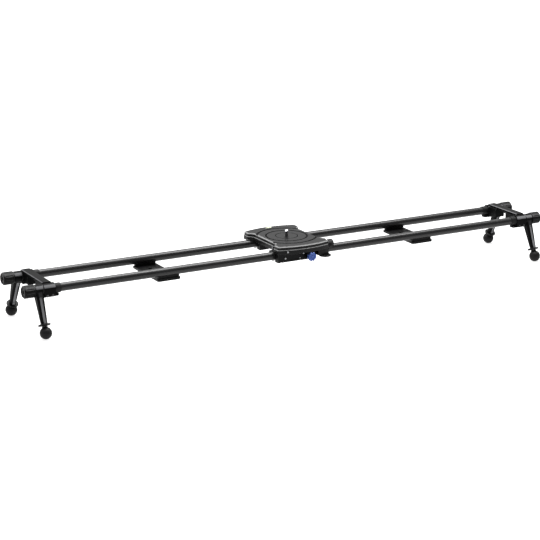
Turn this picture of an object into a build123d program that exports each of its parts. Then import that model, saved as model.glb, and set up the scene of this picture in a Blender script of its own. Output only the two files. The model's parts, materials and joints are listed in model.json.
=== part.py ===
from build123d import *
import math
import os

# Camera slider: two carbon tubes held in cast end brackets, a camera carriage that rolls along them
# on ball-bearing rollers, two cross braces with tripod threads, and four splayed legs on ball feet.
# Millimetres. +X runs along the rails, -Y is the side with the brake knob, +Z is up.
# The origin is on the floor, under the middle of the slider.

# ---------------------------------------------------------------- driving dimensions
RAIL_R = 11.0            # carbon tube, outside radius
RAIL_WALL = 2.0
RAIL_Y = 68.5            # half the distance between the two rail axes
RAIL_END = 733.0         # half length of a rail

BRACKET_X = (705.0, 735.0)   # inner and outer face of an end bracket, as |x|
BRACKET_TOP = 18.5           # above the rail axis
BRACKET_BOTTOM = -18.5       # below the rail axis
CLAMP_R = 15.4               # round top of the clamp around one rail, and half its width
WINDOW_HALF = 23.8           # half width of the window in the middle of the bracket
BRIDGE_DEPTH = 7.0           # thickness of the bridge over that window
BRIDGE_INSET = 6.0           # of the bridge's inner edge from the clamps' inner faces
SKIRT_Z = (-11.5, 12.2)      # the wall between a clamp and the window, from the rail axis
SKIRT_LAP = 5.4              # of that wall into the clamp
TONGUE_REACH = 12.0          # of the saddle under a rail, past the bracket's inner face
TONGUE_TOP = -12.9
BRACKET_SCREW_R = 2.0
BRACKET_SCREW_Z = -14.4
BRACKET_SCREW_SEAT = 10.2    # from the rail axis, sideways
BUMPER_X = 688.0             # inner end of the rubber ring that stops the carriage
BUMPER_R = 12.5

WASHER_X = (735.0, 736.2)
HUB_X = (736.5, 757.5)
KNOB_X = (758.0, 787.0)
STUD_R = 4.0             # M8 studs, at the leg hubs and in the feet
RUN_GAP = 0.2            # radial clearance of a part that turns on a stud

LEG_SPLAY = 24.15        # degrees from the vertical
LEG_END = 85.0           # from the hub axis to the lower end of the leg
FOOT_DROP = 108.0        # from the hub axis to the centre of the ball foot
FOOT_R = 15.5
RAIL_Z = FOOT_DROP * math.cos(math.radians(LEG_SPLAY)) + FOOT_R   # the rail axes above the floor

BRACE_X = 388.0          # centre of a cross brace, as |x|
BRACE_HALF = 33.0
BRACE_Y = 77.0
BRACE_TOP = -16.5        # top face of the brace plate, from the rail axis
BRACE_BOTTOM = -23.0
NECK_HALF = 5.0          # half width of the neck that holds a rail from below
BRACE_SCREW_DX = 22.0
BRACE_SCREW_LENGTH = 19.0
INSERT_TOP = -3.0        # top of the threaded insert in the rail

PLATE_TOP = 29.5         # top of the carriage plate, from the rail axis
PLATE_BOTTOM = 9.0
PLATE_SEAM = 20.5        # height of the step around its edge
PLATE_STEP = 1.6         # how far the top stands back at that step
PLATE_BEVEL = 2.5
RING_GROOVES = ((30, 3.0, 1.0), (55, 5.5, 1.6), (80, 6.5, 1.6))   # radius, width, depth
PLATE_HALF = 80.0
PLATE_CROWN = 110.0      # half depth of the plate on its centre line
PLATE_EDGE_R = 220.0     # radius of its curved front and back edges
WAIST_HALF = 68.0
WAIST_Y = 62.0

HOUSING_HALF = 26.0      # half width of a roller housing around its rail
HOUSING_BOTTOM = -15.9
HOUSING_SLOT_HALF = 7.5      # the slot under the rail, which the braces' necks pass through
FRONT_HOUSING_X = (-78.0, 38.0)
BACK_HOUSING_X = (-56.5, 57.0)
FRONT_SCREW_X = (-69.0, -11.0)
BACK_SCREW_X = (-28.0, 46.0)
HOUSING_SCREW_DY = 20.5
HOUSING_SCREW_SEAT = HOUSING_BOTTOM + 9.0
HOUSING_SCREW_LENGTH = 27.0
HOUSING_BORE_R = 12.2
FACE_SCREWS = ((-57.0, -4.0), (-1.5, 4.0))   # x and z of the small screws in the front block's face
RIM_SCREW_XZ = (-55.0, 15.0)                 # and of the one in the plate's front edge
RIM_SCREW_STAND = 0.6                        # that screw's head off the sloping edge

ROLLER_R = 6.5           # 4 x 13 x 5 ball bearing
ROLLER_WIDTH = 5.0
ROLLER_GAP = 0.1         # between a roller and its rail, which the tubes' tolerance takes up
AXLE_R = 2.0
ROLLER_X = (-46.0, 27.5)     # the two roller stations
ROLLER_ANGLES = {"top": 0.0, "inner": 120.0, "outer": -120.0}

CAMERA_STUD_R = 4.7625   # 3/8 inch camera stud
CAMERA_STUD_TOP = 46.0
CAMERA_SHOULDER_R = 5.25     # of the stud inside the plate
TRIPOD_TAP_R = 3.97      # 3/8 inch tripod thread, at its minor diameter
SMALL_TAP_R = 2.6        # 1/4 inch accessory thread, at its minor diameter

BRAKE_X = 16.0
BRAKE_Z = -5.0
BRAKE_STAR_R = 12.2
BRAKE_COLLAR = (0.6, 7.0)    # distances of the collar's two faces from the block's front face
BRAKE_STAR_LENGTH = 10.5
DRAG_XY = (65.0, -93.0)
DRAG_BLOCK_X = (38.5, 78.5)
DRAG_BLOCK_BOTTOM = -6.5
DRAG_DISC_Z = (-12.6, -8.8)
DRAG_DISC_R = 16.4
LOCK_YZ = (-88.0, 18.3)
LOCK_KNOB_R = 11.8
LOCK_FACE_X = 72.2           # the face of the plate that the lock knob bears on
LOCK_CUT_Y = -75.4           # inner side of the plate's cut-away corner around the lock knob
PAD_GAP = 0.6            # between a released pad and the rail
FIT = 0.02               # added to the radius of a hole around a part that sits still in it

ENDS = {"left": -1, "right": 1}
CORNERS = {"front_left": (-1, -1), "front_right": (1, -1), "back_left": (-1, 1), "back_right": (1, 1)}


# ---------------------------------------------------------------- small helpers
def block(x, y, z):
    """A box between the pairs of limits x, y and z."""
    size = [abs(b - a) for a, b in (x, y, z)]
    centre = [(a + b) / 2 for a, b in (x, y, z)]
    return Pos(*centre) * Box(*size)


def rod_x(radius, x, y, z):
    return Pos((x[0] + x[1]) / 2, y, z) * Rot(0, 90, 0) * Cylinder(radius, abs(x[1] - x[0]))


def rod_y(radius, x, y, z):
    return Pos(x, (y[0] + y[1]) / 2, z) * Rot(90, 0, 0) * Cylinder(radius, abs(y[1] - y[0]))


def rod_z(radius, x, y, z):
    return Pos(x, y, (z[0] + z[1]) / 2) * Cylinder(radius, abs(z[1] - z[0]))


def scallops(radius, count, cutter_r, length):
    """Cutters for a grip, around a Z axis, from z 0 to length."""
    step = 360 / count
    cutter = Pos(radius, 0, length / 2) * Cylinder(cutter_r, length)
    return Part() + [Rot(0, 0, step * i) * cutter for i in range(count)]


def socket_screw(radius, length, head_r, head_height, socket_r):
    """A cap screw along -Z, with the underside of its head at z 0 and a hexagon socket on top."""
    screw = rod_z(radius, 0, 0, (-length, 0)) + rod_z(head_r, 0, 0, (0, head_height))
    socket = Pos(0, 0, head_height * 0.45) * extrude(RegularPolygon(socket_r, 6), head_height)
    return screw - socket


def save(name, *shapes):
    """Writes one node from its separate solids, lifted so that the floor is at z 0."""
    solids = [solid for shape in shapes for solid in shape.solids()]
    placed = [Pos(0, 0, RAIL_Z) * solid for solid in solids]
    node = placed[0] if len(placed) == 1 else Compound(placed)
    export_step(node, os.path.join("parts", name + ".step"))


# ---------------------------------------------------------------- rails
def make_rail(side):
    tube = rod_x(RAIL_R, (-RAIL_END, RAIL_END), side * RAIL_Y, 0)
    tube -= rod_x(RAIL_R - RAIL_WALL, (-RAIL_END, RAIL_END), side * RAIL_Y, 0)
    for end in ENDS.values():
        for x in brace_screw_xs(end):
            tube -= rod_z(2.0 + FIT, x, side * RAIL_Y, (-RAIL_R - 1, 0))
    return tube


def make_insert(end, side):
    """The half-round aluminium insert glued into a rail, which takes the screws of a brace."""
    x, y = end * BRACE_X, side * RAIL_Y
    insert = rod_x(RAIL_R - RAIL_WALL - FIT, (x - 30, x + 30), y, 0)
    insert -= block((x - 31, x + 31), (y - RAIL_R, y + RAIL_R), (INSERT_TOP, RAIL_R))
    for screw_x in brace_screw_xs(end):
        insert -= rod_z(2.0 + FIT, screw_x, y, (-RAIL_R, 0))
    return insert


def make_plug(end, side):
    """The aluminium plug glued into a rail's end. It carries the stud of the leg clamp."""
    y = side * RAIL_Y
    body = rod_x(RAIL_R - RAIL_WALL - FIT, (end * 693, end * RAIL_END), y, 0)
    flange = rod_x(RAIL_R, (end * RAIL_END, end * BRACKET_X[1]), y, 0)
    return body + flange - rod_x(STUD_R + FIT, (end * 707, end * BRACKET_X[1]), y, 0)


def make_leg_stud(end, side):
    return rod_x(STUD_R, (end * 708, end * 779), side * RAIL_Y, 0)


def make_washer(end, side):
    ring = rod_x(13, (end * WASHER_X[0], end * WASHER_X[1]), side * RAIL_Y, 0)
    return ring - rod_x(STUD_R + FIT, (end * WASHER_X[0], end * WASHER_X[1]), side * RAIL_Y, 0)


def make_bumper(end, side):
    """The rubber ring on a rail that stops the carriage."""
    x = (end * BUMPER_X, end * (BRACKET_X[0] - 0.05))
    ring = rod_x(BUMPER_R, x, side * RAIL_Y, 0)
    ring = chamfer(ring.edges().filter_by(GeomType.CIRCLE), 0.5)
    return ring - rod_x(RAIL_R + FIT, x, side * RAIL_Y, 0)


# ---------------------------------------------------------------- end brackets
def make_end_bracket(end):
    """One casting: a split clamp around each rail, joined by a bridge over an open window."""
    inner, outer = (end * x for x in BRACKET_X)
    bridge_x = (inner + end * BRIDGE_INSET, outer)
    bracket = block(bridge_x, (-RAIL_Y, RAIL_Y), (BRACKET_TOP - BRIDGE_DEPTH, BRACKET_TOP))
    bracket = chamfer(bracket.faces().sort_by(Axis.Z)[-1].edges().filter_by(Axis.Y), 1.5)
    for side in (-1, 1):
        bracket += make_clamp(end, side) + make_skirt(end, side)
    for side in (-1, 1):
        bracket -= clamp_cuts(end, side)
    return bracket


def make_clamp(end, side):
    """The block around one rail, round on top, with its saddle under the rail."""
    inner, outer = (end * x for x in BRACKET_X)
    y = side * RAIL_Y
    clamp = block((inner, outer), (y - CLAMP_R, y + CLAMP_R), (BRACKET_BOTTOM, 0))
    clamp = fillet(clamp.edges().filter_by(Axis.X).sort_by(Axis.Z)[:2], 6)
    clamp += rod_x(CLAMP_R, (inner, outer), y, 0)
    tongue_x = (inner - end * TONGUE_REACH, inner + end * 4)
    tongue = block(tongue_x, (y - 9, y + 9), (BRACKET_BOTTOM, TONGUE_TOP))
    tongue = fillet(tongue.edges().filter_by(Axis.Z), 5)
    return clamp + tongue


def make_skirt(end, side):
    """The wall between a clamp and the window."""
    wall_x = [end * x for x in BRACKET_X]
    wall_y = (side * WINDOW_HALF, side * (RAIL_Y - CLAMP_R + SKIRT_LAP))
    return block(wall_x, wall_y, SKIRT_Z)


def clamp_cuts(end, side):
    """The rail's bore, the split below it and the holes of the two cross screws."""
    inner, outer = (end * x for x in BRACKET_X)
    y = side * RAIL_Y
    length = (inner - end * (TONGUE_REACH + 1), outer + end)
    cuts = rod_x(RAIL_R + FIT, length, y, 0) + block(length, (y - 1, y + 1), (BRACKET_BOTTOM - 1, 0))
    edge = y + side * (CLAMP_R + 1)
    for x in bracket_screw_xs(end):
        cuts += rod_y(BRACKET_SCREW_R + FIT, x, (y - side * 13, edge), BRACKET_SCREW_Z)
        cuts += rod_y(3.6, x, (y + side * BRACKET_SCREW_SEAT, edge), BRACKET_SCREW_Z)
    return cuts


def bracket_screw_xs(end):
    return [end * (BRACKET_X[0] + 8), end * (BRACKET_X[1] - 8)]


def make_bracket_screws():
    """The cross screws that close the clamps on the rails."""
    screws = []
    screw = socket_screw(BRACKET_SCREW_R, 22, 3.5, 4, 1.9)
    for end in ENDS.values():
        for side in (-1, 1):
            turned = Rot(-90 * side, 0, 0) * screw
            seat = side * (RAIL_Y + BRACKET_SCREW_SEAT)
            screws += [Pos(x, seat, BRACKET_SCREW_Z) * turned for x in bracket_screw_xs(end)]
    return screws


# ---------------------------------------------------------------- legs, built upright, then splayed
def splayed(shape, end, side):
    """Carries a shape from the upright leg frame, with its hub axis on X, to its corner."""
    hub_centre = (HUB_X[0] + HUB_X[1]) / 2
    return Pos(end * hub_centre, side * RAIL_Y, 0) * Rot(side * LEG_SPLAY, 0, 0) * shape


def make_leg():
    half = (HUB_X[1] - HUB_X[0]) / 2
    hub = rod_x(15, (-half, half), 0, 0)
    hub = chamfer(hub.edges().filter_by(GeomType.CIRCLE), 1.2)
    top = Plane.XY.offset(-6) * RectangleRounded(20.4, 26, 6)
    bottom = Plane.XY.offset(-LEG_END) * RectangleRounded(17, 17, 8.2)
    leg = hub + loft([bottom, top])
    channel = Box(7.5, 6.0, 58)
    channel = fillet(channel.edges().filter_by(Axis.Y), 3.0)
    for face in (-1, 1):
        leg -= Pos(0, face * 11.4, -49.5) * Rot(face * -2.6, 0, 0) * channel
    leg -= rod_x(STUD_R + RUN_GAP, (-half - 1, half + 1), 0, 0)
    return leg - rod_z(STUD_R + RUN_GAP, 0, 0, (-LEG_END - 1, -50))


def make_lock_disc():
    """The knurled disc that locks the foot's thread against the leg."""
    top = -LEG_END - 0.5
    disc = rod_z(15.6, 0, 0, (top - 4.2, top))
    disc = chamfer(disc.edges().filter_by(GeomType.CIRCLE), 1.0)
    disc -= Pos(0, 0, top - 4.2) * scallops(17.4, 18, 2.5, 4.2)
    disc += rod_z(7.0, 0, 0, (top - 5.4, top))
    return disc - rod_z(STUD_R + RUN_GAP, 0, 0, (top - 6, top + 1))


def make_foot_ball():
    ball = Pos(0, 0, -FOOT_DROP) * Sphere(FOOT_R)
    ball += rod_z(7.5, 0, 0, (-FOOT_DROP, -FOOT_DROP + FOOT_R + 0.9))
    return ball - rod_z(STUD_R + FIT, 0, 0, (-FOOT_DROP + 3, -FOOT_DROP + FOOT_R + 2))


def make_foot_stud():
    stud = rod_z(STUD_R, 0, 0, (-FOOT_DROP + 3.1, -56))
    return chamfer(stud.edges().sort_by(Axis.Z)[-1], 0.8)


def make_end_knob():
    """A fluted grip with a chamfered rim and a dished face, along +X from x 0."""
    length = KNOB_X[1] - KNOB_X[0]
    knob = rod_z(16.6, 0, 0, (0, length))
    knob = chamfer(knob.edges().sort_by(Axis.Z)[-1], 3.0)
    knob = chamfer(knob.edges().sort_by(Axis.Z)[0], 1.0)
    knob -= Pos(0, 0, 5) * scallops(18.7, 12, 3.0, length - 11)
    knob -= rod_z(11.5, 0, 0, (length - 1.6, length + 1))
    knob -= rod_z(4.6, 0, 0, (length - 4, length + 1))
    knob -= rod_z(STUD_R + RUN_GAP, 0, 0, (-1, length - 6))
    return Rot(0, 90, 0) * knob


# ---------------------------------------------------------------- cross braces
def make_brace_plate(end):
    x = end * BRACE_X
    plate = block((x - BRACE_HALF, x + BRACE_HALF), (-BRACE_Y, BRACE_Y), (BRACE_BOTTOM, BRACE_TOP))
    plate = fillet(plate.edges().filter_by(Axis.Z), 6)
    plate = chamfer(plate.faces().sort_by(Axis.Z)[0].edges(), 0.8)
    plate += rod_z(13, x, 0, (BRACE_TOP, BRACE_TOP + 5.5))
    for y in (-30, 30):
        plate += rod_z(8, x, y, (BRACE_TOP, BRACE_TOP + 3))
        plate -= rod_z(SMALL_TAP_R, x, y, (BRACE_BOTTOM - 1, BRACE_TOP + 4))
    plate -= rod_z(TRIPOD_TAP_R, x, 0, (BRACE_BOTTOM - 1, BRACE_TOP + 7))
    for place in brace_screw_places(end):
        plate -= Pos(*place, BRACE_BOTTOM) * countersunk_screw(FIT, 1.0)
    return plate


def brace_screw_xs(end):
    return [end * BRACE_X + dx for dx in (-BRACE_SCREW_DX, BRACE_SCREW_DX)]


def brace_screw_places(end):
    return [(x, side * RAIL_Y) for side in (-1, 1) for x in brace_screw_xs(end)]


def countersunk_screw(grow=0.0, below=0.0):
    """A flat-headed screw along +Z from z 0. grow and below turn it into its hole's cutter."""
    cone = Pos(0, 0, 1.1) * Cone(3.9 + grow, 2.0 + grow, 2.2)
    shank = rod_z(2.0 + grow, 0, 0, (0, BRACE_SCREW_LENGTH))
    return cone + shank + (rod_z(3.9 + grow, 0, 0, (-below, 0)) if below else Part())


def make_brace_screw():
    return countersunk_screw() - Pos(0, 0, -0.1) * extrude(RegularPolygon(1.5, 6), 1.3)


def make_brace_neck(end, side):
    """The neck between a brace plate and a rail, narrow enough for the carriage to pass over it."""
    x, y = end * BRACE_X, side * RAIL_Y
    neck = block((x - 30, x + 30), (y - NECK_HALF, y + NECK_HALF), (BRACE_TOP, -RAIL_R + 2))
    neck = fillet(neck.edges().filter_by(Axis.Z), 3)
    neck -= rod_x(RAIL_R + FIT, (x - 31, x + 31), y, 0)
    for screw_x in brace_screw_xs(end):
        neck -= rod_z(2.0 + FIT, screw_x, y, (BRACE_TOP - 1, 0))
    return neck


# ---------------------------------------------------------------- carriage plate
def plate_outline():
    """The plate seen from above: bowed front and back edges, and a waist at each side."""
    edge_y = math.sqrt(PLATE_EDGE_R**2 - PLATE_HALF**2) - (PLATE_EDGE_R - PLATE_CROWN)
    lines = []
    for sign in (-1, 1):
        ends = ((-PLATE_HALF, sign * edge_y), (0, sign * PLATE_CROWN), (PLATE_HALF, sign * edge_y))
        lines.append(ThreePointArc(*ends))
        lines.append(
            Polyline(
                (sign * PLATE_HALF, edge_y),
                (sign * PLATE_HALF, WAIST_Y + 9),
                (sign * WAIST_HALF, WAIST_Y - 3),
                (sign * WAIST_HALF, 3 - WAIST_Y),
                (sign * PLATE_HALF, -WAIST_Y - 9),
                (sign * PLATE_HALF, -edge_y),
            )
        )
    outline = make_face(lines)
    return fillet(outline.vertices(), 4.5)


def ring_groove(radius, width, depth):
    cutter = rod_z(radius + width / 2, 0, 0, (PLATE_TOP - depth, PLATE_TOP + 1))
    return cutter - rod_z(radius - width / 2, 0, 0, (PLATE_TOP - depth, PLATE_TOP + 1))


def make_carriage_plate():
    plate = Pos(0, 0, PLATE_BOTTOM) * extrude(plate_outline(), PLATE_SEAM - PLATE_BOTTOM)
    plate = chamfer(plate.faces().sort_by(Axis.Z)[-1].edges(), 1.2)
    top = Pos(0, 0, PLATE_SEAM) * extrude(offset(plate_outline(), -PLATE_STEP), PLATE_TOP - PLATE_SEAM)
    plate += chamfer(top.faces().sort_by(Axis.Z)[-1].edges(), PLATE_BEVEL)
    for radius, width, depth in RING_GROOVES:
        plate -= ring_groove(radius, width, depth)
    pocket = block((-60, 60), (-38, 38), (PLATE_BOTTOM - 1, 22)) - rod_z(17, 0, 0, (0, 30))
    plate -= pocket
    plate -= rod_z(CAMERA_SHOULDER_R + FIT, 0, 0, (0, 40))
    plate -= rod_z(9 + FIT, 0, 0, (PLATE_BOTTOM - 1, 17))
    plate -= block((LOCK_FACE_X, PLATE_HALF + 1), (-PLATE_CROWN, LOCK_CUT_Y), (0, PLATE_TOP + 1))
    for side in (-1, 1):
        plate -= rod_x(HOUSING_BORE_R, (-PLATE_HALF - 1, PLATE_HALF + 1), side * RAIL_Y, 0)
        for x in ROLLER_X:
            plate -= roller_pocket(x, side, 0.0)
        for x, y in housing_screw_places(side):
            plate -= rod_z(2.5 + FIT, x, y, (0, HOUSING_SCREW_SEAT + HOUSING_SCREW_LENGTH + 0.3))
    for x in ROLLER_X:
        plate -= rod_y(AXLE_R + FIT, x, (-RAIL_Y - 8, RAIL_Y + 8), RAIL_R + ROLLER_R + ROLLER_GAP)
    plate -= bubble_slot(FIT, 6)
    plate -= rod_x(3 + FIT, (58, PLATE_HALF), *LOCK_YZ)
    return plate - face_screw_hole(RIM_SCREW_XZ, rim_screw_y())


def bubble_slot(grow, height):
    """The round-ended slot for the tubular bubble level, near the back edge of the top."""
    slot = extrude(SlotOverall(18 + 2 * grow, 7 + 2 * grow), height)
    return Pos(0, 98, PLATE_TOP - 5) * slot


def make_bubble_level():
    return bubble_slot(0, 4.7)


def make_camera_stud():
    """The camera stud, with a flange that seats in the underside of the plate."""
    stud = rod_z(CAMERA_STUD_R, 0, 0, (12, CAMERA_STUD_TOP))
    stud = chamfer(stud.edges().sort_by(Axis.Z)[-1], 1.0)
    stud += rod_z(9, 0, 0, (12, 17)) + rod_z(CAMERA_SHOULDER_R, 0, 0, (12, PLATE_TOP))
    return stud - Pos(0, 0, 12 - 0.1) * extrude(RegularPolygon(3.4, 6), 4.1)


# ---------------------------------------------------------------- roller housings
def roller_direction(side, angle):
    """Angle from the vertical, in degrees, turned so that inner faces the slider's middle."""
    return side * angle


def roller_pocket(x, side, angle):
    """The slot that clears one roller, around the rail's axis."""
    radial = (RAIL_R - 0.5, RAIL_R + 2 * ROLLER_R + 0.8)
    half = ROLLER_WIDTH / 2 + 0.4
    slot = block((x - ROLLER_R - 0.8, x + ROLLER_R + 0.8), (-half, half), radial)
    return Pos(0, side * RAIL_Y, 0) * Rot(roller_direction(side, angle), 0, 0) * slot


def at_roller(x, side, angle, shape):
    """Puts a shape, made about a Y axis through the origin, at one roller's centre."""
    reach = RAIL_R + ROLLER_R + ROLLER_GAP
    turn = Pos(0, side * RAIL_Y, 0) * Rot(roller_direction(side, angle), 0, 0)
    return turn * Pos(x, 0, reach) * shape


def make_roller():
    roller = rod_y(ROLLER_R, 0, (-ROLLER_WIDTH / 2, ROLLER_WIDTH / 2), 0)
    roller = chamfer(roller.edges().filter_by(GeomType.CIRCLE), 0.3)
    for face in (-1, 1):
        span = (face * (ROLLER_WIDTH / 2 - 0.4), face * (ROLLER_WIDTH / 2 + 1))
        roller -= rod_y(5.4, 0, span, 0) - rod_y(3.3, 0, span, 0)
    return roller - rod_y(AXLE_R + 0.06, 0, (-ROLLER_WIDTH, ROLLER_WIDTH), 0)


def housing_screw_places(side):
    offsets = (-HOUSING_SCREW_DY, HOUSING_SCREW_DY)
    xs = FRONT_SCREW_X if side < 0 else BACK_SCREW_X
    return [(x, side * RAIL_Y + dy) for x in xs for dy in offsets]


def make_roller_blocks(side):
    """The two blocks under the plate, inside and outside one rail, that hold its lower rollers."""
    span = FRONT_HOUSING_X if side < 0 else BACK_HOUSING_X
    y = side * RAIL_Y
    housing = block(span, (y - HOUSING_HALF, y + HOUSING_HALF), (HOUSING_BOTTOM, PLATE_BOTTOM))
    housing = fillet(housing.edges().filter_by(Axis.X).sort_by(Axis.Z)[:2], 5)
    housing = chamfer(housing.faces().sort_by(Axis.X)[0].edges(), 0.8)
    housing = chamfer(housing.faces().sort_by(Axis.X)[-1].edges(), 0.8)
    housing -= rod_x(HOUSING_BORE_R, (span[0] - 1, span[1] + 1), y, 0)
    slot = (y - HOUSING_SLOT_HALF, y + HOUSING_SLOT_HALF)
    housing -= block((span[0] - 1, span[1] + 1), slot, (HOUSING_BOTTOM - 1, 0))
    axle = rod_y(AXLE_R + FIT, 0, (-6.5, 6.5), 0)
    for x in ROLLER_X:
        for angle in ROLLER_ANGLES.values():
            housing -= roller_pocket(x, side, angle)
            if angle:
                housing -= at_roller(x, side, angle, axle)
    for x, screw_y in housing_screw_places(side):
        housing -= rod_z(2.5 + FIT, x, screw_y, (HOUSING_BOTTOM - 1, PLATE_BOTTOM + 1))
        housing -= rod_z(4.3, x, screw_y, (HOUSING_BOTTOM - 1, HOUSING_SCREW_SEAT))
    if side < 0:
        housing -= rod_y(3 + RUN_GAP, BRAKE_X, (y - HOUSING_HALF - 1, y), BRAKE_Z)
        housing -= rod_y(4.5 + FIT, BRAKE_X, (y - 21.2, y), BRAKE_Z)
        recess = block((-46, -9), (y - HOUSING_HALF - 1, y - HOUSING_HALF + 1.6), (-10, 2.5))
        housing -= fillet(recess.edges().filter_by(Axis.Y), 2.5)
        for place in FACE_SCREWS:
            housing -= face_screw_hole(place, y - HOUSING_HALF)
    return housing


def rim_screw_y():
    """Where the plate's front edge stands at the rim screw."""
    edge = PLATE_EDGE_R - PLATE_CROWN - math.sqrt(PLATE_EDGE_R**2 - RIM_SCREW_XZ[0] ** 2)
    return edge - RIM_SCREW_STAND


def face_screw_hole(place, y):
    x, z = place
    return rod_y(1.5 + FIT, x, (y - 1, y + 3.5), z)


def make_face_screw(place, y):
    """A small button-headed screw in a front face at y."""
    x, z = place
    head = chamfer(rod_y(2.6, x, (y - 1.7, y - 0.1), z).edges().sort_by(Axis.Y)[0], 0.7)
    return head + rod_y(1.5, x, (y - 0.2, y + 3.2), z)


def make_block_screws():
    screw = Rot(180, 0, 0) * socket_screw(2.5, HOUSING_SCREW_LENGTH, 4.2, 4.5, 2.3)
    places = [place for side in (-1, 1) for place in housing_screw_places(side)]
    screws = [Pos(x, y, HOUSING_SCREW_SEAT) * screw for x, y in places]
    screws += [make_face_screw(place, -RAIL_Y - HOUSING_HALF) for place in FACE_SCREWS]
    return screws + [make_face_screw(RIM_SCREW_XZ, rim_screw_y())]


def make_axles():
    """Stub axles for the lower rollers, and a long one across both rails at each station."""
    axles = []
    stub = rod_y(AXLE_R, 0, (-6.4, 6.4), 0)
    for x in ROLLER_X:
        axles.append(rod_y(AXLE_R, x, (-RAIL_Y - 7.9, RAIL_Y + 7.9), RAIL_R + ROLLER_R + ROLLER_GAP))
        for side in (-1, 1):
            for angle in (ROLLER_ANGLES["inner"], ROLLER_ANGLES["outer"]):
                axles.append(at_roller(x, side, angle, stub))
    return axles


# ---------------------------------------------------------------- brake, drag and lock
def brake_front():
    return -RAIL_Y - HOUSING_HALF


def make_brake_knob():
    """The star grip. Its front face is dished around a raised button."""
    half = BRAKE_STAR_LENGTH / 2
    star = Cylinder(BRAKE_STAR_R, BRAKE_STAR_LENGTH)
    star = chamfer(star.edges().filter_by(GeomType.CIRCLE), 1.0)
    star -= Pos(0, 0, -half) * scallops(BRAKE_STAR_R + 0.8, 8, 3.1, BRAKE_STAR_LENGTH)
    star -= rod_z(6.4, 0, 0, (half - 1.4, half + 1)) - rod_z(3.6, 0, 0, (half - 1.4, half + 1))
    star -= rod_z(3 + FIT, 0, 0, (-half - 1, 2))
    return Pos(BRAKE_X, brake_front() - BRAKE_COLLAR[1] - half, BRAKE_Z) * Rot(90, 0, 0) * star


def make_brake_collar():
    span = [brake_front() - step for step in BRAKE_COLLAR]
    collar = rod_y(9.4, BRAKE_X, span, BRAKE_Z)
    return collar - rod_y(3 + FIT, BRAKE_X, (span[0] + 1, span[1] - 1), BRAKE_Z)


def make_brake_stud():
    tip = brake_front() - BRAKE_COLLAR[1] - BRAKE_STAR_LENGTH / 2 - 1.9
    return rod_y(3, BRAKE_X, (tip, -RAIL_Y - 14.6), BRAKE_Z)


def make_brake_pad():
    """The nylon pad, threaded on the stud and hollowed to the rail's curve."""
    pad = rod_y(4.5, BRAKE_X, (-RAIL_Y - 20.0, -RAIL_Y), BRAKE_Z)
    pad -= rod_y(3 + FIT, BRAKE_X, (-RAIL_Y - 21, -RAIL_Y - 13.8), BRAKE_Z)
    return pad - rod_x(RAIL_R + PAD_GAP, (BRAKE_X - 6, BRAKE_X + 6), -RAIL_Y, 0)


def make_drag_post():
    """The block under the plate's front right corner that carries the drag screw."""
    x, y = DRAG_XY
    height = (DRAG_BLOCK_BOTTOM, PLATE_BOTTOM)
    outline = Pos(0, 0, height[0]) * extrude(offset(plate_outline(), -2.5), height[1] - height[0])
    post = outline & block(DRAG_BLOCK_X, (-PLATE_CROWN, -RAIL_Y - HOUSING_HALF + 10.5), height)
    post = chamfer(post.faces().sort_by(Axis.Z)[0].edges(), 1.0)
    post += rod_z(11.0, x, y, (DRAG_DISC_Z[1] + 0.4, DRAG_BLOCK_BOTTOM + 1))
    below_knob = (LOCK_YZ[1] - LOCK_KNOB_R - 0.6, PLATE_BOTTOM + 1)
    post -= block((LOCK_FACE_X, PLATE_HALF), (-PLATE_CROWN, -RAIL_Y), below_knob)
    return post - rod_z(3 + RUN_GAP, x, y, (-14, 2)) - rod_y(3 + FIT, x, (y, y + 12), 0)


def make_drag_pad():
    x, y = DRAG_XY
    pad = rod_y(3, x, (y + 5, -RAIL_Y), 0)
    return pad - rod_x(RAIL_R + PAD_GAP, (x - 5, x + 5), -RAIL_Y, 0)


def make_drag_knob():
    """A knurled disc under its block, with the shaft that moves the drag pad."""
    x, y = DRAG_XY
    disc = rod_z(DRAG_DISC_R, 0, 0, DRAG_DISC_Z)
    disc = chamfer(disc.edges().filter_by(GeomType.CIRCLE), 1.0)
    grip = scallops(DRAG_DISC_R + 1.6, 24, 2.0, DRAG_DISC_Z[1] - DRAG_DISC_Z[0])
    disc -= Pos(0, 0, DRAG_DISC_Z[0]) * grip
    return Pos(x, y, 0) * (disc + rod_z(3, 0, 0, (DRAG_DISC_Z[0] + 1, 1.5)))


def make_lock_knob():
    """A stepped knob along +X: a plain neck, a smooth ring, then the knurled grip."""
    knob = rod_z(LOCK_KNOB_R - 1.3, 0, 0, (0, 5))
    for span in ((4.2, 8.2), (9.2, 16.2)):
        ring = rod_z(LOCK_KNOB_R, 0, 0, span)
        knob += chamfer(ring.edges().filter_by(GeomType.CIRCLE), 0.6)
    knob += rod_z(LOCK_KNOB_R - 0.9, 0, 0, (8, 9.5))
    knob -= Pos(0, 0, 9.2) * scallops(LOCK_KNOB_R + 1.1, 20, 1.8, 7.0)
    knob -= rod_z(7.5, 0, 0, (15.0, 17))
    knob -= rod_z(3 + FIT, 0, 0, (-1, 11))
    return Pos(LOCK_FACE_X + 0.4, *LOCK_YZ) * Rot(0, 90, 0) * knob


def make_lock_stud():
    return rod_x(3, (59, 82), *LOCK_YZ)


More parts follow.
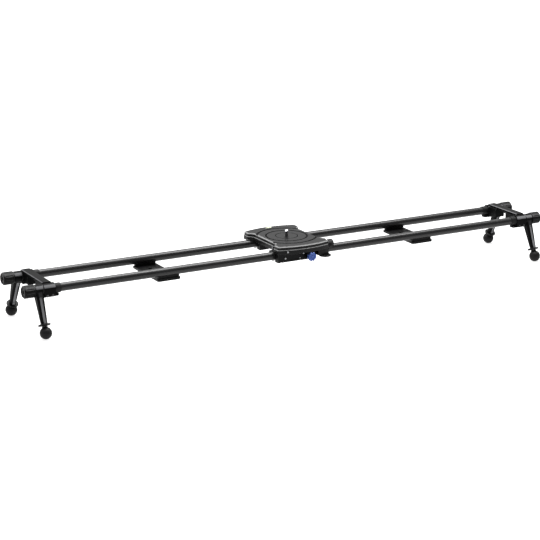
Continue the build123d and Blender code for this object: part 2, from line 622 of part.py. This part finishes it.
# ---------------------------------------------------------------- write the nodes
def main():
    os.makedirs("parts", exist_ok=True)
    corners = list(CORNERS.values())
    save("rail_front", make_rail(-1))
    save("rail_back", make_rail(1))
    save("rail_plugs", *[make_plug(*c) for c in corners])
    save("leg_clamp_studs", *[make_leg_stud(*c) for c in corners])
    save("friction_washers", *[make_washer(*c) for c in corners])
    save("rail_bumpers", *[make_bumper(*c) for c in corners])
    save("rail_inserts", *[make_insert(*c) for c in corners])
    save("bracket_screws", *make_bracket_screws())
    for name, end in ENDS.items():
        save("end_bracket_" + name, make_end_bracket(end))
        save("brace_plate_" + name, make_brace_plate(end))
    save("brace_necks", *[make_brace_neck(*c) for c in corners])
    places = [place for end in ENDS.values() for place in brace_screw_places(end)]
    save("brace_screws", *[Pos(*place, BRACE_BOTTOM) * make_brace_screw() for place in places])

    knob = make_end_knob()
    splayed_shapes = {
        "leg_": make_leg(),
        "lock_disc_": make_lock_disc(),
        "foot_ball_": make_foot_ball(),
        "foot_stud_": make_foot_stud(),
    }
    for name, (end, side) in CORNERS.items():
        for prefix, shape in splayed_shapes.items():
            save(prefix + name, splayed(shape, end, side))
        facing = knob if end > 0 else Rot(0, 0, 180) * knob
        save("end_knob_" + name, Pos(end * KNOB_X[0], side * RAIL_Y, 0) * facing)

    save("carriage_plate", make_carriage_plate())
    save("roller_blocks_front", make_roller_blocks(-1))
    save("roller_blocks_back", make_roller_blocks(1))
    save("roller_block_screws", *make_block_screws())
    save("roller_axles", *make_axles())
    save("camera_stud", make_camera_stud())
    save("bubble_level", make_bubble_level())

    roller = make_roller()
    for station, x in zip(ENDS, ROLLER_X):
        save("rollers_top_" + station, *[at_roller(x, side, 0.0, roller) for side in (-1, 1)])
        for rail, side in (("front", -1), ("back", 1)):
            for place in ("inner", "outer"):
                shape = at_roller(x, side, ROLLER_ANGLES[place], roller)
                save("_".join(("roller", rail, station, place)), shape)

    save("brake_knob", make_brake_knob())
    save("brake_collar", make_brake_collar())
    save("brake_stud", make_brake_stud())
    save("brake_pad", make_brake_pad())
    save("drag_post", make_drag_post())
    save("drag_pad", make_drag_pad())
    save("drag_knob", make_drag_knob())
    save("lock_knob", make_lock_knob())
    save("lock_stud", make_lock_stud())


main()
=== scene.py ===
import json
import math

import bmesh
import bpy
from mathutils import Matrix, Vector


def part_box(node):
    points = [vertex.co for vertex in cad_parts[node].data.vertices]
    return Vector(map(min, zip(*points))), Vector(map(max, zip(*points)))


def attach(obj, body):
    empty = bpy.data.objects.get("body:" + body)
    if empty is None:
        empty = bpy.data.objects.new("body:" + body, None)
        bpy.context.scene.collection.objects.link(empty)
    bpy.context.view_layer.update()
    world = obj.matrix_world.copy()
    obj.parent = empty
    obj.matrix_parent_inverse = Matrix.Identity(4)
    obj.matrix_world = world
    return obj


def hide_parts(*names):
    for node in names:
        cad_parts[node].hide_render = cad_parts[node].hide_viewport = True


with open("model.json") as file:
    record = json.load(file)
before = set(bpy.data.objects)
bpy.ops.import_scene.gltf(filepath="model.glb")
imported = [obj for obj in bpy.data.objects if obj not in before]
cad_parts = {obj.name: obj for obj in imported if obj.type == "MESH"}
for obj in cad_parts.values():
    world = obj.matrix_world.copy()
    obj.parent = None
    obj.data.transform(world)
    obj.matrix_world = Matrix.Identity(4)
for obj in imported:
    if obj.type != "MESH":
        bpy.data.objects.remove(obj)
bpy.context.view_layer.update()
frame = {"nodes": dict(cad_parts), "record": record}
NODES = frame["nodes"]
MM = 0.001
RAIL_Z = sum(corner.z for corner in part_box("rail_front")) / 2
RAIL_Y = sum(corner.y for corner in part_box("rail_back")) / 2
CORNERS = ("front_left", "front_right", "back_left", "back_right")
BODIES = frame["record"]["behaviour"]["bodies"]
BODY_OF = {node: body for body, nodes in BODIES.items() for node in nodes}
TURN = 2 * math.pi

RAIL_R = 11 * MM
TOW = 2.4 * MM           # width of one carbon tow
TWILL_REPEAT = 4         # tows after which the weave starts again
FIBRES_IN_TOW = 6
CHANNEL_HALF = 3.4 * MM  # half width of the painted highlight strip down a leg
HUB_DEPTH = 14 * MM      # from the rail axis to where that strip starts
GROOVE_DEPTHS = (2.5 * MM, 0.6 * MM)     # the plate's grooves lie between these, below its top; their floors get painted shade

HIGHLIGHT_FACING = (0.45, 0.84)   # height of the normal on faces that tilt up and get a painted highlight: 1 is level
LEVEL_FACING = 0.9            # and the least height that counts as level
EDGE_RADIUS = 0.8 * MM        # of the rubbed band along a sharp edge

NODE_ROUNDING = 0.35 * MM
LEVEL_ROUNDING = 0.2 * MM

THREAD_DEPTH = 0.60      # of a screw thread, as a share of its pitch
THREAD_STEPS = 10        # rings in one pitch
CREST_SHARE = 0.8        # where the flat crest starts on the way up a thread's flank
ROUND_STEPS = 48         # points round the camera screw
SLOT_STEPS = 32          # points round a slot's outline, and round a mark on the vial
SCREW_SHOULDER_R = 5.25 * MM
SCREW_THREAD_R = 4.7625 * MM     # 3/8 inch
SCREW_PITCH = 25.4 / 16 * MM     # 16 threads to the inch
SCREW_SOCKET_R = 3.4 * MM
BED_HEIGHT = 0.9 * MM    # of the level's plaster bed
BUBBLE_RISE = 1.15 * MM
BUBBLE_HALF, BUBBLE_R = 1.4 * MM, 1.95 * MM
MARK_X = 3.1 * MM

LIGHT_DIRECTION = (0.0, 0.4, 0.92)   # towards the bright part of the sky
SKY_FADE = (("From Min", 0.30), ("From Max", 0.72), ("To Min", 0.35), ("To Max", 1.3))
FLOOR_HALF = 30.0
FLOOR_GLOW = 0.78

CAMERA_AZIMUTH, CAMERA_ELEVATION, CAMERA_ROLL = -29.85, 15.13, 0.31   # degrees
CAMERA_DISTANCE = 5.211
CAMERA_LENS, CAMERA_SENSOR = 129.33, 36.0
CAMERA_SHIFT = (-0.0304, -0.0442)


# ---------------------------------------------------------------- node helpers
class Nodes:
    """A short way to build one material's node tree."""

    def __init__(self, name):
        self.material = bpy.data.materials.new(name)
        self.material.use_nodes = True
        self.tree = self.material.node_tree
        self.shader = self.tree.nodes["Principled BSDF"]
        self.coords = self.tree.nodes.new("ShaderNodeTexCoord").outputs["Object"]

    def add(self, kind, inputs=None, **settings):
        node = self.tree.nodes.new(kind)
        for key, value in settings.items():
            setattr(node, key, value)
        for key, value in (inputs or {}).items():
            self.put(node.inputs[key], value)
        return node

    def put(self, socket, value):
        if isinstance(value, bpy.types.NodeSocket):
            self.tree.links.new(value, socket)
        else:
            socket.default_value = value

    def math(self, operation, a, b=0.0):
        return self.add("ShaderNodeMath", {0: a, 1: b}, operation=operation).outputs[0]

    def noise(self, scale, detail=3.0, roughness=0.55, vector=None):
        inputs = {"Vector": vector or self.coords, "Scale": scale}
        inputs |= {"Detail": detail, "Roughness": roughness}
        return self.add("ShaderNodeTexNoise", inputs).outputs["Fac"]

    def ramp(self, fac, low, high, start=0.0, end=1.0):
        node = self.add("ShaderNodeValToRGB", {"Fac": fac})
        for element, colour, place in zip(node.color_ramp.elements, (low, high), (start, end)):
            element.color = colour
            element.position = place
        return node.outputs["Color"]

    def span(self, fac, low, high, start=0.0, end=1.0):
        inputs = {"Value": fac, "From Min": start, "From Max": end, "To Min": low, "To Max": high}
        return self.add("ShaderNodeMapRange", inputs).outputs["Result"]

    def mix(self, fac, a, b):
        node = self.add("ShaderNodeMix", data_type="RGBA")
        for index, value in ((0, fac), (6, a), (7, b)):
            self.put(node.inputs[index], value)
        return node.outputs[2]

    def bump(self, height, strength, distance):
        inputs = {"Height": height, "Strength": strength, "Distance": distance}
        return self.add("ShaderNodeBump", inputs).outputs["Normal"]

    def facet_height(self):
        """Z of the surface's true normal, in its own frame: 1 on level faces, 0 on walls."""
        facet = self.add("ShaderNodeNewGeometry").outputs["True Normal"]
        spaces = {"vector_type": "NORMAL", "convert_from": "WORLD", "convert_to": "OBJECT"}
        at_rest = self.add("ShaderNodeVectorTransform", {0: facet}, **spaces).outputs[0]
        return self.add("ShaderNodeSeparateXYZ", {0: at_rest}).outputs[2]

    def facing_up(self, low, high):
        """1 where facet_height is between low and high, fading at both ends."""
        up = self.facet_height()
        rising = self.span(up, 0.0, 1.0, low - 0.12, low + 0.05)
        falling = self.span(up, 1.0, 0.0, high - 0.03, high + 0.02)
        return self.math("MULTIPLY", rising, falling)

    def edges(self):
        """1 along sharp edges, 0 elsewhere."""
        rounded = self.add("ShaderNodeBevel", {"Radius": EDGE_RADIUS}, samples=4).outputs[0]
        flat = self.add("ShaderNodeNewGeometry").outputs["Normal"]
        inputs = {0: rounded, 1: flat}
        agreement = self.add("ShaderNodeVectorMath", inputs, operation="DOT_PRODUCT").outputs["Value"]
        return self.span(agreement, 1.0, 0.0, 0.86, 0.98)

    def set(self, **values):
        names = {
            "colour": "Base Color",
            "metallic": "Metallic",
            "roughness": "Roughness",
            "normal": "Normal",
            "coat": "Coat Weight",
            "coat_roughness": "Coat Roughness",
            "specular": "Specular IOR Level",
            "glow": "Emission Color",
            "glow_strength": "Emission Strength",
        }
        for key, value in values.items():
            self.put(self.shader.inputs[names[key]], value)
        return self.material


def grey(value):
    return (value, value, value * 1.04, 1.0)


# ---------------------------------------------------------------- materials
def anodised(name, dark, light, roughness=0.38, metallic=0.0, specular=0.12, wear_and_sheen_lift=0.05, groove_z=None):
    """Bead-blasted, dyed aluminium, with a painted highlight on its upward-tilted faces and chamfers, and
    paler where its edges show wear.

    groove_z is the pair of heights between which level faces are the floors of grooves, which get painted
    shade.
    """
    n = Nodes(name)
    cloud = n.noise(38.0, 4.0)
    grain = n.noise(2600.0, 2.0)
    body = n.ramp(cloud, dark, light, 0.3, 0.75)
    patches = n.span(n.noise(160.0, 5.0), 0.15, 0.8, 0.4, 0.7)
    # Painted highlight on faces that tilt up, plus real wear in patches along the edges; both take the
    # paler colour.
    upward_highlight = n.math("MULTIPLY", n.facing_up(*HIGHLIGHT_FACING), n.span(patches, 0.75, 1.0))
    wear_and_sheen = n.math("MAXIMUM", n.math("MULTIPLY", n.edges(), patches), upward_highlight)
    wear_and_sheen_colour = tuple(min(1.0, channel * 2.5 + wear_and_sheen_lift) for channel in light[:3]) + (1.0,)
    rough = n.math("ADD", n.span(cloud, roughness - 0.05, roughness + 0.06), n.span(grain, -0.03, 0.05))
    colour = n.mix(wear_and_sheen, body, wear_and_sheen_colour)
    # Painted shade: level faces at groove-floor height are painted near black and made rough.
    if groove_z:
        height = n.add("ShaderNodeSeparateXYZ", {0: n.coords}).outputs[2]
        below_top = n.math("LESS_THAN", height, groove_z[1])
        groove = n.math("MULTIPLY", below_top, n.math("GREATER_THAN", height, groove_z[0]))
        groove = n.math("MULTIPLY", groove, n.math("GREATER_THAN", n.facet_height(), LEVEL_FACING))
        colour = n.mix(groove, colour, grey(0.001))
        rough = n.math("MAXIMUM", rough, n.math("MULTIPLY", groove, 0.95))
    return n.set(
        colour=colour,
        metallic=metallic,
        roughness=rough,
        normal=n.bump(grain, 0.25, 0.02 * MM),
        specular=specular,
    )


def powder_coat(name, highlight_strip=None):
    """Stippled black paint over a casting, with a painted highlight on faces that tilt up and paler wear
    along its edges.

    A leg's channel gets a painted highlight; strip is the |x| of its middle, its half width and its top.
    """
    n = Nodes(name)
    stipple = n.noise(900.0, 3.0, 0.6)
    cloud = n.noise(26.0, 3.0)
    body = n.ramp(cloud, grey(0.002), grey(0.004), 0.3, 0.75)
    patches = n.span(n.noise(120.0, 5.0), 0.0, 0.7, 0.45, 0.7)
    # Painted highlight on faces that tilt up, plus patchy wear along the edges; both take the pale grey.
    upward_highlight = n.math("MULTIPLY", n.facing_up(*HIGHLIGHT_FACING), 0.8)
    wear_and_sheen = n.math("MAXIMUM", n.math("MULTIPLY", n.edges(), patches), upward_highlight)
    colour = n.mix(wear_and_sheen, body, grey(0.15))
    if highlight_strip:
        place = n.add("ShaderNodeSeparateXYZ", {0: n.coords}).outputs
        off_middle = n.math("ABSOLUTE", n.math("SUBTRACT", n.math("ABSOLUTE", place[0]), highlight_strip[0]))
        inside = n.math("LESS_THAN", off_middle, highlight_strip[1])
        below_hub = n.math("LESS_THAN", place[2], highlight_strip[2])
        # Painted highlight: a pale strip down the leg's channel, below the hub.
        strip_highlight = n.ramp(cloud, grey(0.13), grey(0.19))
        colour = n.mix(n.math("MULTIPLY", inside, below_hub), colour, strip_highlight)
    return n.set(
        colour=colour,
        metallic=0.0,
        roughness=n.span(stipple, 0.34, 0.48),
        normal=n.bump(stipple, 0.35, 0.10 * MM),
        specular=0.035,
    )


def carbon(name, rail_y):
    """A twill of carbon tows under clear lacquer, wrapped round a tube that lies along X."""
    n = Nodes(name)
    place = n.add("ShaderNodeSeparateXYZ", {0: n.coords}).outputs
    across = n.math("SUBTRACT", place[1], rail_y)
    up = n.math("SUBTRACT", place[2], RAIL_Z)
    angle = n.math("ARCTAN2", across, up)
    tows_round = round(TURN * RAIL_R / TOW / TWILL_REPEAT) * TWILL_REPEAT
    u = n.math("DIVIDE", place[0], TOW)
    v = n.math("MULTIPLY", angle, tows_round / TURN)
    step = n.math("ADD", n.math("FLOOR", u), n.math("FLOOR", v))
    quarter = n.math("FLOORED_MODULO", step, TWILL_REPEAT)
    warp = n.math("LESS_THAN", quarter, TWILL_REPEAT / 2)
    fine_u = n.math("SINE", n.math("MULTIPLY", u, TURN * FIBRES_IN_TOW))
    fine_v = n.math("SINE", n.math("MULTIPLY", v, TURN * FIBRES_IN_TOW))
    fibres = n.add("ShaderNodeMix", data_type="FLOAT")
    for index, value in ((0, warp), (2, fine_u), (3, fine_v)):
        n.put(fibres.inputs[index], value)
    crown_u = n.math("ABSOLUTE", n.math("SINE", n.math("MULTIPLY", u, math.pi)))
    crown_v = n.math("ABSOLUTE", n.math("SINE", n.math("MULTIPLY", v, math.pi)))
    crown = n.math("MULTIPLY", n.math("ADD", crown_u, crown_v), 0.5)
    tint = n.mix(warp, grey(0.003), grey(0.008))
    # The crown of each tow is painted lighter and the seams between tows darker: a painted sheen and
    # painted shade.
    body = n.mix(n.math("MULTIPLY", crown, 0.35), tint, grey(0.012))
    height = n.math("ADD", n.math("MULTIPLY", fibres.outputs[0], 0.15), crown)
    along_tube = n.add("ShaderNodeMapping", {"Vector": n.coords, "Scale": (0.3, 3.0, 3.0)}).outputs[0]
    scuff = n.noise(14.0, 5.0, vector=along_tube)
    return n.set(
        colour=body,
        metallic=0.0,
        roughness=n.math("ADD", n.span(crown, 0.34, 0.26), n.span(scuff, -0.04, 0.06)),
        normal=n.bump(height, 0.12, 0.05 * MM),
        specular=0.2,
        coat=0.2,
        coat_roughness=0.12,
    )


def rubber(name):
    n = Nodes(name)
    grain = n.noise(700.0, 4.0, 0.6)
    dust = n.noise(45.0, 5.0)
    return n.set(
        colour=n.ramp(dust, grey(0.003), grey(0.008), 0.35, 0.8),
        metallic=0.0,
        roughness=n.span(grain, 0.45, 0.62),
        normal=n.bump(grain, 0.3, 0.08 * MM),
        specular=0.15,
    )


def steel(name, base, roughness):
    """Turned or ground metal, with fine marks."""
    n = Nodes(name)
    marks = n.noise(1500.0, 4.0, 0.6)
    cloud = n.noise(60.0, 3.0)
    return n.set(
        colour=n.ramp(cloud, grey(base * 0.8), grey(base), 0.3, 0.7),
        metallic=1.0,
        roughness=n.span(marks, roughness - 0.06, roughness + 0.08),
        normal=n.bump(marks, 0.15, 0.02 * MM),
    )


def plastic(name, dark, light, roughness):
    n = Nodes(name)
    grain = n.noise(800.0, 3.0)
    return n.set(
        colour=n.ramp(n.noise(50.0), dark, light, 0.3, 0.7),
        metallic=0.0,
        roughness=n.span(grain, roughness - 0.05, roughness + 0.07),
        normal=n.bump(grain, 0.15, 0.03 * MM),
    )


def liquid(name):
    n = Nodes(name)
    swirl = n.noise(200.0, 2.0)
    return n.set(
        colour=n.ramp(swirl, (0.74, 0.84, 0.42, 1.0), (0.84, 0.92, 0.58, 1.0)),
        metallic=0.0,
        roughness=n.span(swirl, 0.05, 0.09),
        coat=1.0,
        coat_roughness=0.03,
    )


def screw_steel(tip_z):
    """Oiled dark screw steel, bare and bright at the tip."""
    n = Nodes("screw_steel")
    height = n.add("ShaderNodeSeparateXYZ", {0: n.coords}).outputs[2]
    tip = n.span(height, 0.0, 1.0, tip_z - 4.5 * MM, tip_z - 2.5 * MM)
    marks = n.noise(1500.0, 4.0, 0.6)
    return n.set(
        colour=n.mix(tip, n.ramp(marks, grey(0.03), grey(0.06)), grey(0.8)),
        metallic=1.0,
        roughness=n.span(marks, 0.20, 0.34),
        normal=n.bump(marks, 0.15, 0.02 * MM),
    )


def floor_paper():
    n = Nodes("floor_paper")
    return n.set(
        colour=n.ramp(n.noise(3.0), (0.34, 0.34, 0.34, 1.0), (0.36, 0.36, 0.36, 1.0)),
        metallic=0.0,
        roughness=0.85,
        specular=0.2,
        glow=(1.0, 1.0, 1.0, 1.0),
        glow_strength=FLOOR_GLOW,
    )


BLACK_DYE = (grey(0.002), grey(0.005))
BLUE_DYE = ((0.025, 0.055, 0.21, 1.0), (0.04, 0.08, 0.27, 1.0))
MATERIALS = {
    "machined": anodised("black_anodised", *BLACK_DYE, specular=0.08),
    "casting": powder_coat("black_powder_coat"),
    "rubber": rubber("black_rubber"),
    "steel": steel("zinc_steel", 0.62, 0.28),
    "bearing_steel": steel("bearing_steel", 0.75, 0.16),
    "acetal": plastic("black_acetal", grey(0.018), grey(0.03), 0.45),
    "nylon": plastic("natural_nylon", (0.70, 0.69, 0.64, 1.0), (0.80, 0.79, 0.75, 1.0), 0.5),
    "blue_anodised": anodised("blue_anodised", *BLUE_DYE, 0.3, metallic=0.5, specular=0.4, wear_and_sheen_lift=0.15),
    "black_steel": steel("black_oxide_steel", 0.07, 0.35),
    "block_screws": steel("worn_oxide_steel", 0.30, 0.35),
    "vial": liquid("vial_liquid"),
    "plaster": plastic("plaster", (0.80, 0.80, 0.78, 1.0), (0.88, 0.88, 0.86, 1.0), 0.5),
    "bubble": plastic("bubble_air", (0.90, 0.94, 0.84, 1.0), (0.95, 0.98, 0.92, 1.0), 0.12),
    "carbon": carbon("carbon_twill_front", -RAIL_Y),
}
CARBON_BACK = carbon("carbon_twill_back", RAIL_Y)
PLATE_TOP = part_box("carriage_plate")[1].z
GROOVES_Z = tuple(PLATE_TOP - depth for depth in GROOVE_DEPTHS)
LEG_X = sum(corner.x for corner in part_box("leg_front_right")) / 2
# The legs' coat carries a painted highlight strip down each channel.
LEG_COAT_AND_PAINTED_LIGHT = powder_coat("black_powder_coat_leg_painted_light", (LEG_X, CHANNEL_HALF, RAIL_Z - HUB_DEPTH))
# The plate's anodising carries painted shade in its grooves and a stronger painted highlight on faces
# that tilt up.
PLATE_ANODISE_AND_PAINTED_LIGHT = anodised("black_anodised_plate_painted_light", *BLACK_DYE, wear_and_sheen_lift=0.22, groove_z=GROOVES_Z)


# ---------------------------------------------------------------- meshes
def new_piece(name, vertices, faces, material, body, slot, smooth=True):
    mesh = bpy.data.meshes.new(name)
    mesh.from_pydata(vertices, [], faces)
    mesh.validate()
    piece = bpy.data.objects.new(name, mesh)
    bpy.context.scene.collection.objects.link(piece)
    mesh.materials.append(material)
    mesh.polygons.foreach_set("use_smooth", [smooth] * len(mesh.polygons))
    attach(piece, body)
    return piece


def soften(piece, width, angle=28.0, segments=2):
    """Welds a tessellated piece, rounds its sharp edges a little and evens its shading."""
    weld = piece.modifiers.new("weld", "WELD")
    weld.merge_threshold = 0.002 * MM
    flat = piece.modifiers.new("flat_faces", "DECIMATE")
    flat.decimate_type = "DISSOLVE"
    flat.angle_limit = math.radians(0.3)
    bevel = piece.modifiers.new("edge_round", "BEVEL")
    bevel.limit_method = "ANGLE"
    bevel.angle_limit = math.radians(angle)
    bevel.width = width
    bevel.segments = segments
    bevel.use_clamp_overlap = True
    normals = piece.modifiers.new("even_normals", "WEIGHTED_NORMAL")
    normals.keep_sharp = False
    normals.weight = 60


def skin(rings):
    """Vertices and faces of one closed skin over rings of equal length, capped at both ends."""
    count = len(rings[0])
    vertices = [point for ring in rings for point in ring]
    faces = []
    for row in range(len(rings) - 1):
        for column in range(count):
            after = (column + 1) % count
            a, b = row * count + column, row * count + after
            faces.append((a, b, b + count, a + count))
    faces.append(tuple(range(count))[::-1])
    faces.append(tuple(range(count * (len(rings) - 1), count * len(rings))))
    return vertices, faces


def turned_ring(z, radius_at, segments):
    """One ring about the Z axis; radius_at gives the radius at each share of a turn."""
    turns = [column / segments for column in range(segments)]
    radii = [radius_at(turn) for turn in turns]
    return [(r * math.cos(TURN * t), r * math.sin(TURN * t), z) for t, r in zip(turns, radii)]


def round_rings(profile):
    """One round ring for each height and radius in the profile."""
    return [turned_ring(z, lambda turn, radius=radius: radius, ROUND_STEPS) for z, radius in profile]


def hexagon_radius(turn, corner):
    """Radius of a hexagon with its corners at this radius, at a share of a turn."""
    sixth = (turn * 6) % 1.0
    return corner * math.cos(math.pi / 6) / math.cos((sixth - 0.5) * math.pi / 3)


def thread_rings(radius, pitch, z_span, segments):
    """Rings that follow a helix: a V thread with flat crests, running out at both ends."""
    depth = pitch * THREAD_DEPTH
    steps = round((z_span[1] - z_span[0]) / pitch * THREAD_STEPS)
    rings = []
    for step in range(steps + 1):
        z = z_span[0] + (z_span[1] - z_span[0]) * step / steps
        run_out = min(1.0, (z - z_span[0]) / pitch, (z_span[1] - z) / pitch)

        def radius_at(turn, z=z, run_out=run_out):
            phase = (z / pitch - turn) % 1.0
            ridge = 1.0 - abs(2.0 * phase - 1.0)
            return radius - depth * (1.0 - min(1.0, ridge / CREST_SHARE) * run_out)

        rings.append(turned_ring(z, radius_at, segments))
    return rings


# ---------------------------------------------------------------- detail pieces
def build_camera_stud():
    """The 3/8-16 camera screw: flange, plain shoulder, rolled thread and chamfered tip."""
    low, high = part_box("camera_stud")
    flange_r = (high.x - low.x) / 2
    flange_top, socket_top = low.z + 5 * MM, low.z + 4 * MM
    thread_start = PLATE_TOP + 0.4 * MM
    rings = []
    for z in (socket_top, low.z):
        rings.append(turned_ring(z, lambda turn: hexagon_radius(turn, SCREW_SOCKET_R), ROUND_STEPS))
    plain = (
        (low.z, flange_r - 0.4 * MM),
        (low.z + 0.4 * MM, flange_r),
        (flange_top - 0.4 * MM, flange_r),
        (flange_top, flange_r - 0.4 * MM),
        (flange_top, SCREW_SHOULDER_R),
        (PLATE_TOP - 0.3 * MM, SCREW_SHOULDER_R),
        (PLATE_TOP, SCREW_SHOULDER_R - 0.3 * MM),
        (PLATE_TOP, SCREW_THREAD_R * 0.84),
    )
    tip = ((high.z - 0.9 * MM, 4.1 * MM), (high.z, 3.3 * MM))
    rings += round_rings(plain)
    rings += thread_rings(SCREW_THREAD_R, SCREW_PITCH, (thread_start, high.z - 1.0 * MM), ROUND_STEPS)
    rings += round_rings(tip)
    stud = new_piece("camera_screw", *skin(rings), screw_steel(high.z), BODY_OF["camera_stud"], "steel")
    soften(stud, 0.08 * MM, 50.0, 1)
    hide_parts("camera_stud")


def build_bubble_level():
    """The tubular level: a glass vial in a plaster bed, with its bubble between two marks."""
    low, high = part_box("bubble_level")
    middle = (low + high) / 2
    body = BODY_OF["bubble_level"]
    tube_r = (high.y - low.y) / 2 - 0.45 * MM
    tube_half = (high.x - low.x) / 2 - tube_r - 0.5 * MM
    axis = Vector((middle.x, middle.y, high.z - tube_r))
    vial = capsule("level_vial", axis, tube_half, tube_r, MATERIALS["vial"], body)
    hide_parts("bubble_level")
    bed_r = (high.y - low.y) / 2
    bed_half = (high.x - low.x) / 2 - bed_r
    bed_top = low.z + BED_HEIGHT
    floor = slot_outline(middle, bed_half, bed_r, (low.z, bed_top))
    bed = new_piece("level_bed", *skin(floor), MATERIALS["plaster"], body, "vial", smooth=False)
    soften(bed, LEVEL_ROUNDING)
    outer = slot_outline(middle, bed_half, bed_r, (bed_top, high.z))
    inner = slot_outline(middle, bed_half, tube_r - 0.5 * MM, (high.z, bed_top))
    ring = hoop(outer + inner)
    bezel = new_piece("level_bezel", *ring, MATERIALS["plaster"], body, "vial", smooth=False)
    soften(bezel, LEVEL_ROUNDING)
    risen = axis + Vector((0, 0, BUBBLE_RISE))
    bubble = capsule("level_bubble", risen, BUBBLE_HALF, BUBBLE_R, MATERIALS["bubble"], body)
    soften(bubble, 0.05 * MM)
    for side, x in (("left", -MARK_X), ("right", MARK_X)):
        build_mark("level_mark_" + side, axis, x, tube_r, body)


def slot_outline(middle, half, radius, heights):
    """Rings round a round-ended slot along X, one at each height."""
    outline = []
    for step in range(SLOT_STEPS):
        angle = TURN * (step + 0.5) / SLOT_STEPS
        shift = math.copysign(half, math.cos(angle))
        outline.append((middle.x + radius * math.cos(angle) + shift, middle.y + radius * math.sin(angle)))
    return [[(x, y, z) for x, y in outline] for z in heights]


def hoop(rings):
    """Vertices and faces of a skin over rings whose last ring joins the first."""
    vertices, faces = skin(rings + [rings[0]])
    count = len(rings[0])
    total = count * len(rings)
    joined = [tuple(index % total for index in face) for face in faces[:-2]]
    return vertices[:total], joined


def build_mark(name, axis, x, tube_r, body):
    """A painted ring round the vial."""
    half, proud = 0.22 * MM, 0.05 * MM
    angles = [TURN * column / SLOT_STEPS for column in range(SLOT_STEPS)]
    rings = []
    for dx, height in ((-half, 0.0), (-half, proud), (half, proud), (half, 0.0)):
        r = tube_r + height
        ring_x = axis.x + x + dx
        rings.append([(ring_x, axis.y + r * math.sin(a), axis.z + r * math.cos(a)) for a in angles])
    new_piece(name, *skin(rings), MATERIALS["acetal"], body, "acetal")


def capsule(name, centre, half_length, radius, material, body):
    """A round-ended rod along X."""
    shape = bmesh.new()
    turn = Matrix.Rotation(math.pi / 2, 4, "Y")
    bmesh.ops.create_uvsphere(shape, u_segments=28, v_segments=20, radius=radius, matrix=turn)
    for vertex in shape.verts:
        if abs(vertex.co.x) > radius / 100:
            vertex.co.x += math.copysign(half_length, vertex.co.x)
        vertex.co += centre
    mesh = bpy.data.meshes.new(name)
    shape.to_mesh(mesh)
    shape.free()
    piece = bpy.data.objects.new(name, mesh)
    bpy.context.scene.collection.objects.link(piece)
    mesh.materials.append(material)
    mesh.polygons.foreach_set("use_smooth", [True] * len(mesh.polygons))
    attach(piece, body)
    return piece


# ---------------------------------------------------------------- CAD nodes: finish and softened edges
def dress_nodes():
    slots = {entry["node"]: entry["material_slot"] for entry in frame["record"]["subparts"]}
    finishes = {node: MATERIALS[slot] for node, slot in slots.items()}
    finishes["rail_back"] = CARBON_BACK
    finishes["carriage_plate"] = PLATE_ANODISE_AND_PAINTED_LIGHT
    for node in ("bracket_screws", "brace_screws", "roller_axles"):
        finishes[node] = MATERIALS["black_steel"]
    finishes["roller_block_screws"] = MATERIALS["block_screws"]
    for corner in CORNERS:
        finishes["leg_" + corner] = LEG_COAT_AND_PAINTED_LIGHT
    for name, piece in NODES.items():
        piece.data.materials.clear()
        piece.data.materials.append(finishes[name])
        piece.data.polygons.foreach_set("use_smooth", [True] * len(piece.data.polygons))
        soften(piece, NODE_ROUNDING)


dress_nodes()
build_camera_stud()
build_bubble_level()


# ---------------------------------------------------------------- setting
def build_floor():
    half = FLOOR_HALF
    corners = [(-half, -half, 0), (half, -half, 0), (half, half, 0), (-half, half, 0)]
    mesh = bpy.data.meshes.new("studio_floor")
    mesh.from_pydata(corners, [], [(0, 1, 2, 3)])
    floor = bpy.data.objects.new("studio_floor", mesh)
    bpy.context.scene.collection.objects.link(floor)
    mesh.materials.append(floor_paper())


def softbox(name, place, target, size, power):
    light = bpy.data.lights.new(name, "AREA")
    light.shape = "RECTANGLE"
    light.size, light.size_y = size
    light.energy = power
    lamp = bpy.data.objects.new(name, light)
    bpy.context.scene.collection.objects.link(lamp)
    lamp.location = place
    lamp.rotation_euler = (Vector(target) - Vector(place)).to_track_quat("-Z", "Y").to_euler()


def build_light():
    world = bpy.data.worlds.new("studio")
    world.use_nodes = True
    tree = world.node_tree
    tree.nodes["Background"].inputs["Color"].default_value = (1.0, 1.0, 1.0, 1.0)
    direction = tree.nodes.new("ShaderNodeTexCoord").outputs["Generated"]
    towards_light = tree.nodes.new("ShaderNodeVectorMath")
    towards_light.operation = "DOT_PRODUCT"
    towards_light.inputs[1].default_value = LIGHT_DIRECTION
    tree.links.new(direction, towards_light.inputs[0])
    fade = tree.nodes.new("ShaderNodeMapRange")
    fade.interpolation_type = "SMOOTHSTEP"
    for socket, value in SKY_FADE:
        fade.inputs[socket].default_value = value
    tree.links.new(towards_light.outputs["Value"], fade.inputs["Value"])
    tree.links.new(fade.outputs["Result"], tree.nodes["Background"].inputs["Strength"])
    bpy.context.scene.world = world
    softbox("overhead", (0.3, 0.5, 2.3), (0, 0, 0.1), (3.2, 1.4), 150.0)


def build_camera():
    """The camera stands in front, to the left and a little above, with a long lens."""
    azimuth, elevation = math.radians(CAMERA_AZIMUTH), math.radians(CAMERA_ELEVATION)
    centre = Vector((0, 0, RAIL_Z))
    level = Vector((-math.sin(azimuth), math.cos(azimuth), 0))
    towards = level * math.cos(elevation) - Vector((0, 0, math.sin(elevation)))
    data = bpy.data.cameras.new("camera")
    data.lens, data.sensor_width = CAMERA_LENS, CAMERA_SENSOR
    data.shift_x, data.shift_y = CAMERA_SHIFT
    data.clip_end = 200.0
    camera = bpy.data.objects.new("camera", data)
    bpy.context.scene.collection.objects.link(camera)
    roll = Matrix.Rotation(math.radians(CAMERA_ROLL), 3, "Z")
    rotation = towards.to_track_quat("-Z", "Y").to_matrix() @ roll
    camera.matrix_world = Matrix.Translation(centre - towards * CAMERA_DISTANCE) @ rotation.to_4x4()
    bpy.context.scene.camera = camera


build_floor()
build_light()
build_camera()
bpy.context.scene.view_settings.view_transform = "Standard"
